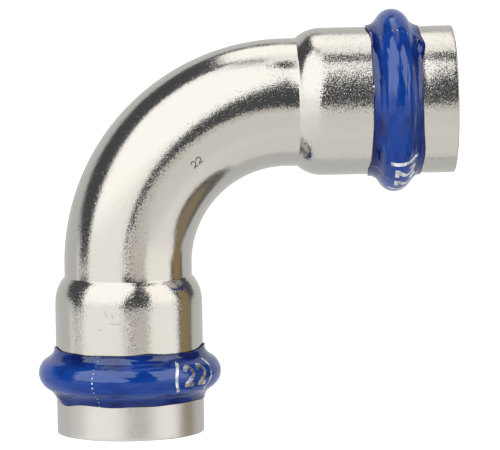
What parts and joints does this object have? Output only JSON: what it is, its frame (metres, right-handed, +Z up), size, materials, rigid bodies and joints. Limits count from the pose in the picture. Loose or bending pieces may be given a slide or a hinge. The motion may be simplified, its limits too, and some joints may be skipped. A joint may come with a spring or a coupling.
{
  "type": "press fit elbow",
  "caption": "Right-angle press fit elbow for stainless steel tube, with beaded sockets, rubber seal rings and blue film sleeves that break away when pressed.",
  "frame": {"origin": "middle of the footprint, on the surface the elbow lies on", "axes": "+Z up as the elbow lies; leg b points along +X and leg a along -Y, each rising 8.8 degrees towards its mouth"},
  "size_m": [0.074, 0.074, 0.0312],
  "materials": {
    "stainless_steel": "pickled and polished stainless steel with a fine grain",
    "seal_rubber": "smooth black moulded rubber",
    "blue_film": "glossy blue shrunk film"
  },
  "bodies": {
    "root": {"elbow_body": "stainless_steel", "seal_ring_a": "seal_rubber", "seal_ring_b": "seal_rubber", "film_sleeve_a": "blue_film", "film_sleeve_b": "blue_film"}
  },
  "joints": []
}
